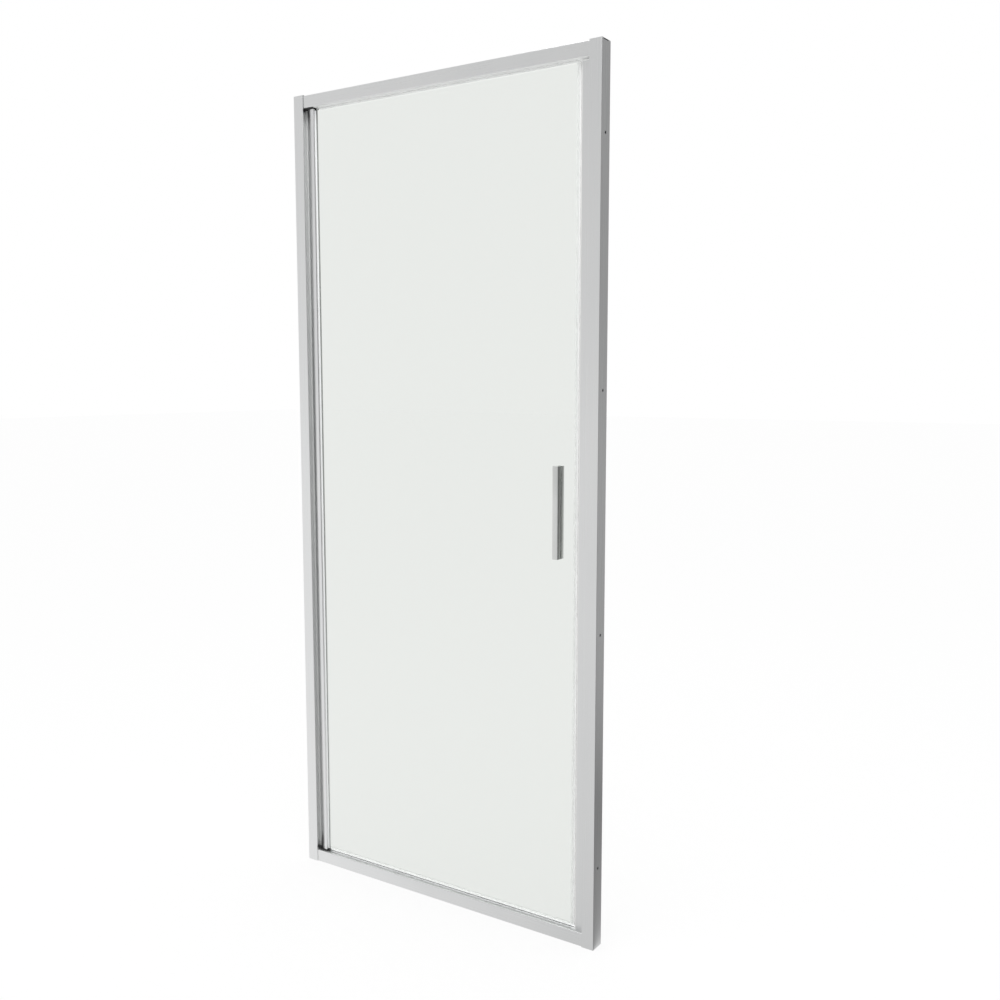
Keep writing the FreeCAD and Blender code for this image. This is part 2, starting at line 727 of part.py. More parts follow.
def bearing_screws():
    """Four countersunk screws that hold the two bearings on the rail and on the sill."""
    body = new_body("bearing_screws")
    for face, inward in (("rail_underside - bearing_plate", False), ("sill_height + bearing_plate", True)):
        shanks = new_sketch(body, "XY_Plane", face)
        heads = new_sketch(body, "XY_Plane", face)
        for x, y in bearing_screw_places():
            add_circle(shanks, x, y, "bearing_screw_radius")
            add_circle(heads, x, y, "bearing_hole_radius + bearing_sink - screw_fit")
        pad(body, shanks, "bearing_screw_length", back=inward)
        head = pad(body, heads, "bearing_sink", back=inward)
        head.setExpression("TaperAngle", bound("-bearing_sink_taper"))
    doc.recompute()
    return body


def frame_corner_screws():
    """Eight screws: heads inside the rail and the sill, shanks in the ports of the jambs."""
    body = new_body("frame_corner_screws")
    for seat, downward in (("rail_underside + rail_wall", True), ("sill_height - rail_wall", False)):
        shanks = new_sketch(body, "XY_Plane", seat)
        heads = new_sketch(body, "XY_Plane", seat)
        for x, y in corner_places():
            add_circle(shanks, x, y, "corner_screw_radius")
            add_circle(heads, x, y, "corner_head_radius")
        pad(body, shanks, "rail_wall + corner_screw_grip", back=downward)
        pad(body, heads, "corner_head_height", back=not downward)
    return body


def clamp_screws(side):
    """Three screws through the wall profile's slots into the jamb, with heads on the shower side."""
    body = new_body(f"{side}_clamp_screws")
    shanks = new_sketch(body, "XZ_Plane", "-clamp_seat")
    heads = new_sketch(body, "XZ_Plane", "-clamp_seat")
    for level in clamp_levels():
        add_circle(shanks, on_side(side, "clamp_x"), level, "clamp_radius")
        add_circle(heads, on_side(side, "clamp_x"), level, "clamp_head_radius")
    pad(body, shanks, "clamp_seat - frame_side + clamp_depth - tip_gap")
    pad(body, heads, "clamp_head_height", back=True)
    return body


def clamp_screw_caps(side):
    """Round caps snapped over the heads of the clamp screws."""
    body = new_body(f"{side}_clamp_screw_caps")
    shells = new_sketch(body, "XZ_Plane", "-clamp_seat")
    hollows = new_sketch(body, "XZ_Plane", "-clamp_seat")
    for level in clamp_levels():
        add_circle(shells, on_side(side, "clamp_x"), level, "clamp_head_radius + snap_cap_wall")
        add_circle(hollows, on_side(side, "clamp_x"), level, "clamp_head_radius + screw_fit")
    pad(body, shells, "clamp_head_height + snap_cap_wall", back=True)
    dress_edges(body, "Fillet", "edge_rounding", lambda edge: edge.Curve.TypeId == "Part::GeomCircle"
                and edge.CenterOfMass.y > amount("clamp_seat + clamp_head_height"))
    cut(body, hollows, "2 * clamp_head_height + 2 * screw_fit")
    return body


# ---------------------------------------------------------------- door

def hinge_stile():
    """Extrusion with a round back about the pivot, a bore for the blocks and a rebate for the glass."""
    body = new_body("hinge_stile", "stile_low + block_plate")
    section = new_sketch(body, "XY_Plane")
    add_stile_outline(section)
    pad(body, section, "stile_high - stile_low - 2 * block_plate")
    dress_edges(body, "Fillet", "2 * edge_rounding", lambda edge: runs_along(edge, Vector(0, 0, 1))
                and at(edge.CenterOfMass.x, "stile_side"))
    bore = new_sketch(body, "XY_Plane")
    add_circle(bore, "pivot_x", "0", "stile_bore_radius")
    cut(body, bore)
    rebate = new_sketch(body, "XY_Plane")
    add_outline(rebate, rectangle("stile_side - glass_rebate", "stile_side + run_over",
                                  "-rubber_side", "rubber_side"))
    cut(body, rebate)
    grub = new_sketch(body, "XZ_Plane", "-stile_radius")
    for level in block_screw_levels():
        add_circle(grub, "pivot_x", f"{level} - stile_low - block_plate", "block_screw_radius + screw_fit")
    cut(body, grub, "2 * stile_radius - 2 * block_spigot_radius")
    return body


def block_screw_levels():
    return ("stile_low + block_plate + block_screw_depth", "stile_high - block_plate - block_screw_depth")


def pivot_block(label, foot, upside_down):
    """Plate on the end of the stile, with a spigot in its bore and a hole for the pin."""
    body = new_body(label, foot, upside_down)
    plate = new_sketch(body, "XY_Plane", "-block_plate")
    add_stile_outline(plate)
    pad(body, plate, "block_plate")
    spigot = new_sketch(body, "XY_Plane", "-block_plate")
    add_circle(spigot, "pivot_x", "0", "block_spigot_radius")
    pad(body, spigot, "block_spigot_length", back=True)
    hole = new_sketch(body, "XY_Plane")
    add_circle(hole, "pivot_x", "0", "pin_radius")
    cut(body, hole, "2 * pin_seat")
    return body


def pivot_pin(label, foot, upside_down):
    """Pin pressed into the block, with a chamfered end in the bush."""
    body = new_body(label, foot, upside_down)
    sketch = new_sketch(body, "XY_Plane", "-pin_seat")
    add_circle(sketch, "pivot_x", "0", "pin_radius")
    pad(body, sketch, "pin_seat + pin_reach")
    dress_edges(body, "Chamfer", "edge_rounding", lambda edge: edge.Curve.TypeId == "Part::GeomCircle"
                and edge.CenterOfMass.z > 0)
    return body


def pivot_block_screws():
    """Two grub screws through the back of the stile, against the spigots."""
    body = new_body("pivot_block_screws")
    sketch = new_sketch(body, "XZ_Plane", "-block_spigot_radius")
    for level in block_screw_levels():
        add_circle(sketch, "pivot_x", level, "block_screw_radius")
    pad(body, sketch, "stile_radius - block_spigot_radius - block_screw_sink", back=True)
    return body


def glass_panel():
    body = new_body("glass_panel")
    pane = new_sketch(body, "XZ_Plane")
    add_outline(pane, rectangle("glass_left", "glass_right", "glass_low", "glass_high"))
    pad(body, pane, "glass_thickness", both_ways=True)
    holes = new_sketch(body, "XZ_Plane")
    for level in handle_bolt_levels():
        add_circle(holes, "handle_x", level, "glass_hole_radius")
    cut(body, holes)
    return body


def glazing_gasket():
    """Pale soft channel round the glass in the stile's rebate, with lips that lie on the glass beside it."""
    body = new_body("glazing_gasket", "stile_low + block_plate")
    back = "stile_side - glass_rebate + seal_fit"
    outside, lip = "rubber_side - screw_fit", "stile_side + gasket_lip"
    half = [(lip, "glass_side"), (lip, outside), (back, outside)]
    corner = [(f"{back} + gasket_wall", "glass_side")]
    mirror_half = [(x, mirrored(y)) for x, y in reversed(half)]
    mirror_corner = [(x, mirrored(y)) for x, y in corner]
    sketch = new_sketch(body, "XY_Plane")
    add_outline(sketch, half + mirror_half + mirror_corner + corner)
    pad(body, sketch, "glass_high - stile_low - block_plate")
    below_glass = new_sketch(body, "XY_Plane")
    add_outline(below_glass, rectangle(back, f"{lip} + run_over", "-rubber_side", "rubber_side"))
    cut(body, below_glass, "2 * glass_low - 2 * stile_low - 2 * block_plate")
    return body


def edge_seal():
    """Clear channel on the closing edge of the glass, with a head that holds the magnet."""
    body = new_body("edge_seal", "glass_low")
    sketch = new_sketch(body, "XY_Plane")
    add_outline(sketch, [
        ("edge_seal_left", "-seal_side"), ("door_edge", "-seal_side"), ("door_edge", "seal_side"),
        ("edge_seal_left", "seal_side"), ("edge_seal_left", "glass_side"), ("glass_right", "glass_side"),
        ("glass_right", "-glass_side"), ("edge_seal_left", "-glass_side"),
    ])
    pad(body, sketch, "glass_high - glass_low")
    dress_edges(body, "Fillet", "edge_rounding", lambda edge: runs_along(edge, Vector(0, 0, 1))
                and at(edge.CenterOfMass.x, "door_edge"))
    chamber = new_sketch(body, "XY_Plane")
    add_outline(chamber, rectangle("door_edge - magnet_skin - magnet_depth", "door_edge - magnet_skin",
                                   "-magnet_width / 2", "magnet_width / 2"))
    cut(body, chamber)
    return body


def door_magnet_strip():
    body = new_body("door_magnet_strip", "glass_low")
    sketch = new_sketch(body, "XY_Plane")
    add_outline(sketch, rectangle("door_edge - magnet_skin - magnet_depth + seal_fit",
                                  "door_edge - magnet_skin - seal_fit",
                                  "seal_fit - magnet_width / 2", "magnet_width / 2 - seal_fit"))
    pad(body, sketch, "glass_high - glass_low")
    return body


def bottom_drip_seal():
    """Channel under the glass, with a fin down to the sill and a slanting fin that throws water back."""
    body = new_body("bottom_drip_seal")
    section = new_sketch(body, "YZ_Plane", "seal_start")
    add_outline(section, [
        ("-seal_side", "drip_top"), ("-seal_side", "drip_floor"), ("-drip_fin / 2", "drip_floor"),
        ("-drip_fin / 2", "drip_low"), ("drip_fin / 2", "drip_low"), ("drip_fin / 2", "drip_floor"),
        ("seal_side - drip_fin", "drip_floor"), ("seal_side + deflector_reach - drip_fin", "drip_low"),
        ("seal_side + deflector_reach", "drip_low"), ("seal_side", "drip_floor + drip_fin / 2"),
        ("seal_side", "drip_top"), ("glass_side", "drip_top"), ("glass_side", "glass_low"),
        ("-glass_side", "glass_low"), ("-glass_side", "drip_top"),
    ])
    pad(body, section, "edge_seal_left - seal_start - seal_fit")
    return body


def handle_bolt_levels():
    return ("handle_height - handle_bolt_pitch / 2", "handle_height + handle_bolt_pitch / 2")


def handle_outline(inset="0"):
    half, end = "handle_width / 2", "handle_length / 2"
    trim = "" if inset == "0" else f" - {inset}"
    grow = "" if inset == "0" else f" + {inset}"
    return rectangle(f"handle_x - {half}{grow}", f"handle_x + {half}{trim}",
                     f"handle_height - {end}{grow}", f"handle_height + {end}{trim}")


def handle_bar(label, inside):
    """Square-edged bar. The inner one is bored for the bolts, the outer one takes their ends."""
    body = new_body(label)
    seat, face = ("-handle_seat", "-handle_back") if inside else ("handle_seat", "handle_back")
    sketch = new_sketch(body, "XZ_Plane", seat)
    add_outline(sketch, handle_outline())
    pad(body, sketch, "handle_depth", back=inside)
    dress_edges(body, "Chamfer", "handle_edge",
                lambda edge: at(abs(edge.CenterOfMass.y), "handle_back")
                or (runs_along(edge, Vector(0, 1, 0))))
    holes = new_sketch(body, "XZ_Plane", seat)
    for level in handle_bolt_levels():
        add_circle(holes, "handle_x", level, "handle_bolt_hole")
    cut(body, holes, "2 * handle_depth" if inside else "2 * handle_bolt_grip")
    if inside:
        sinks = new_sketch(body, "XZ_Plane", face)
        for level in handle_bolt_levels():
            add_circle(sinks, "handle_x", level, "handle_plug_radius + screw_fit")
        cut(body, sinks, "2 * handle_head_sink")
    return body


def handle_pads():
    """Thin soft pads between the two bars and the glass."""
    body = new_body("handle_pads")
    for level, inside in (("glass_side", False), ("-glass_side", True)):
        sketch = new_sketch(body, "XZ_Plane", level)
        add_outline(sketch, handle_outline("handle_pad_inset"))
        for bolt in handle_bolt_levels():
            add_circle(sketch, "handle_x", bolt, "handle_bolt_hole")
        pad(body, sketch, "handle_pad", back=inside)
    return body


def glass_hole_sleeves():
    body = new_body("glass_hole_sleeves")
    sketch = new_sketch(body, "XZ_Plane")
    for level in handle_bolt_levels():
        add_circle(sketch, "handle_x", level, "sleeve_radius")
        add_circle(sketch, "handle_x", level, "handle_bolt_hole")
    pad(body, sketch, "glass_thickness", both_ways=True)
    return body


def handle_bolts():
    """Two bolts from the inner bar through the glass into the outer bar."""
    body = new_body("handle_bolts")
    seat = "handle_head_sink - handle_back"
    shanks = new_sketch(body, "XZ_Plane", seat)
    heads = new_sketch(body, "XZ_Plane", seat)
    for level in handle_bolt_levels():
        add_circle(shanks, "handle_x", level, "handle_bolt_radius")
        add_circle(heads, "handle_x", level, "handle_head_radius")
    pad(body, shanks, "handle_back - handle_head_sink + handle_seat + handle_bolt_grip - tip_gap")
    pad(body, heads, "handle_head_height", back=True)
    return body


def handle_bolt_plugs():
    body = new_body("handle_bolt_plugs")
    sketch = new_sketch(body, "XZ_Plane", "-handle_back")
    for level in handle_bolt_levels():
        add_circle(sketch, "handle_x", level, "handle_plug_radius")
    pad(body, sketch, "handle_plug_height")
    return body


# ---------------------------------------------------------------- the assembly

BEARING_ENDS = (("top", "rail_underside", False), ("bottom", "sill_height", True))
BLOCK_ENDS = (("top", "stile_high", False), ("bottom", "stile_low", True))

pieces = []
for side in ("left", "right"):
    pieces += [wall_profile(side), top_cap(side), clamp_screws(side), clamp_screw_caps(side)]
pieces += [frame_rail("top_rail", "rail_height", "rail_underside", lips_up=False), bottom_sill()]
pieces += [hinge_jamb(), strike_jamb(), strike_magnet_strip(), top_seal_strip(), hinge_gap_seal()]
for end, foot, upside_down in BEARING_ENDS:
    pieces.append(pivot_bearing(f"{end}_pivot_bearing", foot, upside_down))
    pieces.append(ring(f"{end}_bush", foot, upside_down, "washer_seat - bearing_plate", "bush_radius",
                       "pin_radius + pin_clearance", "bush_length"))
    pieces.append(ring(f"{end}_thrust_washer", foot, upside_down,
                       "washer_seat - bearing_plate - washer_thickness", "washer_radius",
                       "pin_radius + pin_clearance", "washer_thickness"))
pieces += [bearing_screws(), frame_corner_screws(), hinge_stile()]
for end, foot, upside_down in BLOCK_ENDS:
    pieces.append(pivot_block(f"{end}_pivot_block", foot, upside_down))
    pieces.append(pivot_pin(f"{end}_pivot_pin", foot, upside_down))
pieces += [pivot_block_screws(), glass_panel(), glazing_gasket(), edge_seal(), door_magnet_strip()]
pieces += [bottom_drip_seal(), handle_bar("outer_handle", inside=False)]
pieces += [handle_bar("inner_handle", inside=True), handle_pads(), glass_hole_sleeves()]
pieces += [handle_bolts(), handle_bolt_plugs()]
doc.recompute()

for item in doc.Objects:
    if {"Invalid", "Error"} & set(item.State):
        raise ValueError(f"{item.Label} did not recompute: {item.State}")
for piece in pieces:
    if piece.Shape.isNull() or not piece.Shape.isValid():
        raise ValueError(f"{piece.Label} has no valid shape")

os.makedirs("parts", exist_ok=True)
for piece in pieces:
    piece.Shape.exportStep(os.path.join("parts", piece.Label + ".step"))
    box = piece.Shape.BoundBox
    print(f"{piece.Label:24s} {len(piece.Shape.Solids)} solids {piece.Shape.Volume / 1000:9.2f} cm3  "
          f"X {box.XMin:8.2f} {box.XMax:8.2f}  Y {box.YMin:7.2f} {box.YMax:7.2f}  "
          f"Z {box.ZMin:8.2f} {box.ZMax:8.2f}")
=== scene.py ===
"""Dressed model of the pivot shower door: a finish for every CAD node, finer seals, handle and
fixings, softened edges, and the studio. Shapes are in millimetres, and MM makes them metres."""
import json
import math

import bpy
import numpy as np
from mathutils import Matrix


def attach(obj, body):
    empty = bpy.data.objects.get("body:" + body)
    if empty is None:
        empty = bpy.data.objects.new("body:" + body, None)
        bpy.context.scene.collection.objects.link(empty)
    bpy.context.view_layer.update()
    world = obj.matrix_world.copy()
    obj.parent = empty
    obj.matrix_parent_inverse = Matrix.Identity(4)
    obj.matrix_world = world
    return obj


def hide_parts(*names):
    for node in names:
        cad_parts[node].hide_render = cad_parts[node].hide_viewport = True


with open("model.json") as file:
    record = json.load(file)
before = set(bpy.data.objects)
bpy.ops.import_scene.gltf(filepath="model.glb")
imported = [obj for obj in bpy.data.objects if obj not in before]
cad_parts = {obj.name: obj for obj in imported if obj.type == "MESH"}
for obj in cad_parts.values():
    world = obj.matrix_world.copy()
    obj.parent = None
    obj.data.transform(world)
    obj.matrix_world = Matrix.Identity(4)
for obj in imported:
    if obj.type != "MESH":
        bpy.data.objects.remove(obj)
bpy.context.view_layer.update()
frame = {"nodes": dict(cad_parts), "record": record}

MM = 0.001
NODES = frame["nodes"]


# ---------------------------------------------------------------- finishes

# The values that soft noise mostly takes.
NOISE_SPAN = (0.3, 0.7)


class Shading:
    """A node tree, with short ways to add to it."""

    def __init__(self, tree):
        self.tree = tree

    def add(self, kind, feeds=(), **settings):
        """A node of this kind, with its settings, and its sockets fed by a value or by another
        node's output."""
        node = self.tree.nodes.new(kind)
        for setting, value in settings.items():
            setattr(node, setting, value)
        for socket, value in dict(feeds).items():
            if isinstance(value, bpy.types.NodeSocket):
                self.tree.links.new(value, node.inputs[socket])
            else:
                node.inputs[socket].default_value = value
        return node

    def ranged(self, value, low, high, span=NOISE_SPAN, **settings):
        """The value carried from its span over to low..high."""
        feeds = {"Value": value, "From Min": span[0], "From Max": span[1],
                 "To Min": low, "To Max": high}
        return self.add("ShaderNodeMapRange", feeds, **settings).outputs["Result"]


class Finish(Shading):
    """A procedural finish: one Principled shader fed by patterns read in Object coordinates."""

    def __init__(self, name, **constants):
        self.material = bpy.data.materials.new(name)
        self.material.use_nodes = True
        super().__init__(self.material.node_tree)
        self.shader = self.tree.nodes["Principled BSDF"]
        self.output = self.tree.nodes["Material Output"]
        self.place = self.add("ShaderNodeTexCoord").outputs["Object"]
        self.lean = None
        for socket, value in constants.items():
            self.shader.inputs[socket.replace("_", " ")].default_value = value

    def noise(self, stretch, detail=3.0):
        """Soft noise from 0 to 1 in Object coordinates multiplied by a stretch: its repeats in a
        metre along X, Y and Z, where a small number draws it out."""
        feeds = {"Vector": self.place, "Scale": stretch}
        stretched = self.add("ShaderNodeMapping", feeds).outputs["Vector"]
        feeds = {"Vector": stretched, "Scale": 1.0, "Detail": detail}
        return self.add("ShaderNodeTexNoise", feeds).outputs["Fac"]

    def tinted(self, pattern, dark, light, span=NOISE_SPAN):
        """Base colour that goes from dark to light over the pattern's span."""
        ramp = self.add("ShaderNodeValToRGB", {"Fac": pattern})
        for element, place, colour in zip(ramp.color_ramp.elements, span, (dark, light)):
            element.position = place
            element.color = (*colour, 1.0)
        self.tree.links.new(ramp.outputs["Color"], self.shader.inputs["Base Color"])

    def roughened(self, pattern, low, high):
        """Roughness that goes from low to high with the pattern."""
        self.tree.links.new(self.ranged(pattern, low, high), self.shader.inputs["Roughness"])

    def embossed(self, pattern, depth, strength=1.0):
        """Relief of this depth, laid over the relief that is already there."""
        feeds = {"Height": pattern, "Distance": depth * MM, "Strength": strength}
        if self.lean is not None:
            feeds["Normal"] = self.lean
        self.lean = self.add("ShaderNodeBump", feeds).outputs["Normal"]
        self.tree.links.new(self.lean, self.shader.inputs["Normal"])


def drawn(run, along, across):
    """Stretch of a pattern that follows an axis: its repeats in a metre along it and across it."""
    return tuple(along if axis == run else across for axis in "XYZ")


def even(repeats):
    """Stretch of a pattern that is the same every way."""
    return (repeats, repeats, repeats)


def anodised(name, run):
    """Bright silver anodised aluminium: die lines along the extrusion, a soft cloud in the film."""
    finish = Finish(name, Metallic=1.0)
    lines = finish.noise(drawn(run, along=3.0, across=1300.0), detail=2.0)
    cloud = finish.noise((7.0, 7.0, 2.6), detail=2.0)
    finish.tinted(cloud, dark=(0.82, 0.828, 0.83), light=(0.845, 0.85, 0.85))
    finish.roughened(lines, low=0.27, high=0.32)
    finish.embossed(lines, depth=0.0008)
    return finish


def chrome():
    """Polished chrome: a nearly clear mirror with a faint wiping haze."""
    finish = Finish("polished_chrome", Metallic=1.0)
    haze = finish.noise((60.0, 60.0, 24.0))
    finish.tinted(haze, dark=(0.735, 0.745, 0.735), light=(0.765, 0.775, 0.765))
    finish.roughened(haze, low=0.10, high=0.17)
    return finish


def steel():
    """Plain stainless steel, with the fine marks of turning and tumbling."""
    finish = Finish("stainless_steel", Metallic=1.0)
    marks = finish.noise(even(900.0), detail=4.0)
    finish.tinted(marks, dark=(0.60, 0.60, 0.60), light=(0.72, 0.72, 0.71))
    finish.roughened(marks, low=0.22, high=0.4)
    finish.embossed(marks, depth=0.01)
    return finish


def moulded(name, dark, light, rough=0.4, **constants):
    """Moulded plastic: a fine spark-eroded grain and a faint flow shade."""
    finish = Finish(name, **constants)
    grain = finish.noise(even(1400.0), detail=2.0)
    flow = finish.noise(even(60.0))
    finish.tinted(flow, dark, light)
    finish.roughened(grain, low=rough - 0.08, high=rough + 0.1)
    finish.embossed(grain, depth=0.02, strength=0.6)
    return finish


def extruded(name, run, dark, light, rough=0.25, **constants):
    """Flexible plastic extrusion: long flow lines, and a slight wave from the cooling bath."""
    finish = Finish(name, **constants)
    lines = finish.noise(drawn(run, along=6.0, across=700.0), detail=2.0)
    wave = finish.noise(drawn(run, along=24.0, across=5.0))
    finish.tinted(wave, dark, light)
    finish.roughened(lines, low=rough - 0.06, high=rough + 0.08)
    finish.embossed(lines, depth=0.01)
    return finish


def clear_glass():
    """Clear toughened glass, 6 thick: a faint roller wave, a deeper green between its faces, and
    open to the light of lamps."""
    finish = Finish("clear_toughened_glass", Transmission_Weight=1.0, IOR=1.5, Roughness=0.0)
    across = finish.add("ShaderNodeSeparateXYZ", {"Vector": finish.place}).outputs["Y"]
    depth = finish.add("ShaderNodeMath", {0: across}, operation="ABSOLUTE").outputs["Value"]
    face = finish.ranged(depth, low=0.0, high=1.0, span=(2.5 * MM, 2.95 * MM))
    finish.tinted(face, dark=(0.74, 0.84, 0.79), light=(0.825, 0.845, 0.82), span=(0.0, 1.0))
    wave = finish.noise((0.6, 0.6, 3.2), detail=0.0)
    finish.embossed(wave, depth=0.02)
    film_colour = (0.9, 0.92, 0.9, 1.0)
    film = finish.add("ShaderNodeBsdfTransparent", {"Color": film_colour}).outputs["BSDF"]
    lamp_ray = finish.add("ShaderNodeLightPath").outputs["Is Shadow Ray"]
    mixed = finish.add("ShaderNodeMixShader",
                       {0: lamp_ray, 1: finish.shader.outputs["BSDF"], 2: film})
    finish.tree.links.new(mixed.outputs["Shader"], finish.output.inputs["Surface"])
    return finish


NEAR_WHITE = {"dark": (0.93, 0.94, 0.94), "light": (0.97, 0.98, 0.98)}
PALE_WHITE = {"dark": (0.9, 0.91, 0.9), "light": (0.95, 0.96, 0.95)}

UPRIGHT = anodised("silver_anodised_upright", run="Z")
LEVEL = anodised("silver_anodised_level", run="X")
CHROME = chrome()
STEEL = steel()
NYLON = moulded("black_nylon", dark=(0.016, 0.016, 0.017), light=(0.03, 0.03, 0.031), rough=0.42)
GREY_PLASTIC = moulded("silver_grey_plastic", dark=(0.54, 0.55, 0.55), light=(0.6, 0.61, 0.61),
                       rough=0.34)
ACETAL = moulded("white_acetal", dark=(0.84, 0.84, 0.82), light=(0.89, 0.89, 0.87), rough=0.3)
GLASS = clear_glass()
GASKET = extruded("glazing_channel", run="Z", **NEAR_WHITE, rough=0.35)
CLEAR_SEAL = extruded("clear_seal_upright", run="Z", **NEAR_WHITE, Alpha=0.2)
CLEAR_DRIP = extruded("clear_seal_level", run="X", dark=(0.84, 0.85, 0.85),
                      light=(0.88, 0.89, 0.89), rough=0.42, Alpha=0.14)
CLEAR_PAD = moulded("clear_pad", dark=(0.88, 0.89, 0.89), light=(0.93, 0.94, 0.94), rough=0.3,
                    Alpha=0.45)
PALE_UPRIGHT = extruded("pale_seal_upright", run="Z", **PALE_WHITE, rough=0.4)
PALE_LEVEL = extruded("pale_seal_level", run="X", **PALE_WHITE, rough=0.45, Alpha=0.24)
PALE_ROOT = extruded("pale_seal_root", run="X", **PALE_WHITE, rough=0.45)
MAGNET = extruded("magnet_strip_skin", run="Z", dark=(0.88, 0.88, 0.87), light=(0.92, 0.92, 0.91),
                  rough=0.35)

# The CAD nodes that have each finish, and the finish of every node in a material slot.
FINISHES = {
    UPRIGHT: ("left_wall_profile", "right_wall_profile", "hinge_jamb", "strike_jamb",
              "hinge_stile"),
    LEVEL: ("top_rail", "bottom_sill"),
    CHROME: ("outer_handle", "inner_handle", "handle_bolt_plugs"),
    GLASS: ("glass_panel",),
    GASKET: ("glazing_gasket",),
    CLEAR_SEAL: ("edge_seal",),
    CLEAR_DRIP: ("bottom_drip_seal",),
    CLEAR_PAD: ("handle_pads", "glass_hole_sleeves"),
    PALE_UPRIGHT: ("hinge_gap_seal",),
    PALE_LEVEL: ("top_seal_strip",),
    MAGNET: ("strike_magnet_strip", "door_magnet_strip"),
}
SLOT_FINISHES = {
    "stainless_steel": STEEL,
    "black_nylon": NYLON,
    "grey_plastic": GREY_PLASTIC,
    "white_acetal": ACETAL,
}


def coat(piece, finish):
    """Give the piece this finish alone."""
    piece.data.materials.clear()
    piece.data.materials.append(finish.material)


for finish, names in FINISHES.items():
    for name in names:
        coat(NODES[name], finish)
for part in frame["record"]["subparts"]:
    if part["material_slot"] in SLOT_FINISHES:
        coat(NODES[part["node"]], SLOT_FINISHES[part["material_slot"]])


# ---------------------------------------------------------------- shapes worked out on grids

# Points nearer than SAME_POINT are one, an end is drawn in over END_STEPS rings, and edges that
# turn by more than CREASE stay sharp in the shading.
SAME_POINT = 1e-4
END_STEPS = 4
CREASE = math.radians(35.0)


def rounded(corners, radii, steps=6):
    """Outline with an arc at each corner. Where the sides leave a corner at unit ways b and a,
    with an angle 2 h between them, the arc's centre is r / sin h from the corner along b + a, its
    feet are r / tan h along each side, and a point of it is the blend
    (sin((1 - t) w) start + sin(t w) end) / sin w, with w = pi - 2 h."""
    points = np.array(corners, float)
    radius = np.broadcast_to(np.array(radii, float), len(points))[:, None]
    ways = (np.roll(points, step, axis=0) - points for step in (1, -1))
    before, after = (way / np.linalg.norm(way, axis=1, keepdims=True) for way in ways)
    half = np.arccos(np.sum(before * after, axis=1, keepdims=True)) / 2
    middle = (before + after) / np.linalg.norm(before + after, axis=1, keepdims=True)
    centre = points + middle * radius / np.sin(half)
    start, end = (points + way * radius / np.tan(half) - centre for way in (before, after))
    turn, t = (math.pi - 2 * half)[:, None], np.linspace(0.0, 1.0, steps)[None, :, None]
    arcs = np.sin((1 - t) * turn) * start[:, None] + np.sin(t * turn) * end[:, None]
    outline = (centre[:, None] + arcs / np.sin(turn)).reshape(-1, 2)
    apart = np.linalg.norm(outline - np.roll(outline, 1, axis=0), axis=1) > SAME_POINT
    return outline[apart]


def bend(start, control, end, steps=9):
    """Curve (1 - t)^2 start + 2 t (1 - t) control + t^2 end, without its two end points."""
    t = np.linspace(0.0, 1.0, steps)[1:-1, None]
    start, control, end = map(np.array, (start, control, end))
    return (1 - t) ** 2 * start + 2 * t * (1 - t) * control + t ** 2 * end


def carried(outline, start, end, soft):
    """Rings of an outline carried from start to end. Near each end it is drawn in along a quarter
    circle of radius s: at angle a the ring is s (1 - cos a) from the end, moved inwards by
    s (1 - sin a)."""
    onward = np.roll(outline, -1, axis=0)
    area = np.sum(outline[:, 0] * onward[:, 1] - outline[:, 1] * onward[:, 0])
    outline = outline if area > 0 else outline[::-1]
    run = np.roll(outline, -1, axis=0) - np.roll(outline, 1, axis=0)
    run /= np.linalg.norm(run, axis=1, keepdims=True)
    inward = np.stack((-run[:, 1], run[:, 0]), axis=1)
    angle = np.linspace(0.0, math.pi / 2, END_STEPS)
    near, inset = soft * (1 - np.cos(angle)), soft * (1 - np.sin(angle))
    stations = np.concatenate((start + near, end - near[::-1]))[:, None, None]
    insets = np.concatenate((inset, inset[::-1]))[:, None, None]
    rings = outline + insets * inward
    heights = np.broadcast_to(stations, (*rings.shape[:2], 1))
    return np.concatenate((rings, heights), axis=2)


def upright(outline, low, high, soft=0.3):
    """An outline in X and Y carried up from one height to another."""
    return carried(outline, low, high, soft)


def level(outline, left, right, soft=0.3):
    """An outline in Y and Z carried along X."""
    return carried(outline, left, right, soft)[:, :, [2, 0, 1]]


def turned(profile, sides):
    """Surface of revolution about Z: ring i has the radius and the height of profile point i."""
    radius, height = np.array(profile, float).T[:, :, None]
    angle = np.linspace(0.0, 2 * math.pi, sides, endpoint=False)[None]
    rings = np.broadcast_arrays(radius * np.cos(angle), radius * np.sin(angle), height)
    return np.stack(rings, axis=2)


def skinned(name, body, finish, grids, instead_of):
    """One piece over grids of closed rings: a quad joins points j and j + 1 of rings i and i + 1,
    and one face closes the first ring and one the last. It takes the place of the CAD nodes that
    are named."""
    faces, first = [], 0
    for grid in grids:
        rings, around = grid.shape[:2]
        index = first + np.arange(rings * around).reshape(rings, around)
        beside = np.roll(index, -1, axis=1)
        quads = np.stack((index[:-1], beside[:-1], beside[1:], index[1:]), axis=-1)
        faces += quads.reshape(-1, 4).tolist()
        faces += [index[0, ::-1].tolist(), index[-1].tolist()]
        first += rings * around
    points = np.concatenate([grid.reshape(-1, 3) for grid in grids]) * MM
    mesh = bpy.data.meshes.new(name)
    mesh.from_pydata(points.tolist(), [], faces)
    mesh.polygons.foreach_set("use_smooth", np.ones(len(mesh.polygons), bool))
    mesh.set_sharp_from_angle(angle=CREASE)
    piece = bpy.data.objects.new(name, mesh)
    bpy.context.collection.objects.link(piece)
    coat(piece, finish)
    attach(piece, body)
    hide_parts(*instead_of)
    return piece


# ---------------------------------------------------------------- seals

GLASS_FOOT, GLASS_HEAD = 34.5, 1814.7
STILE_EDGE = -347.5
SHARP_END = 0.1


def mirrored(half):
    """The points of a half outline with Y turned round, in the order that closes it."""
    return [(-y, z) for y, z in reversed(half)]


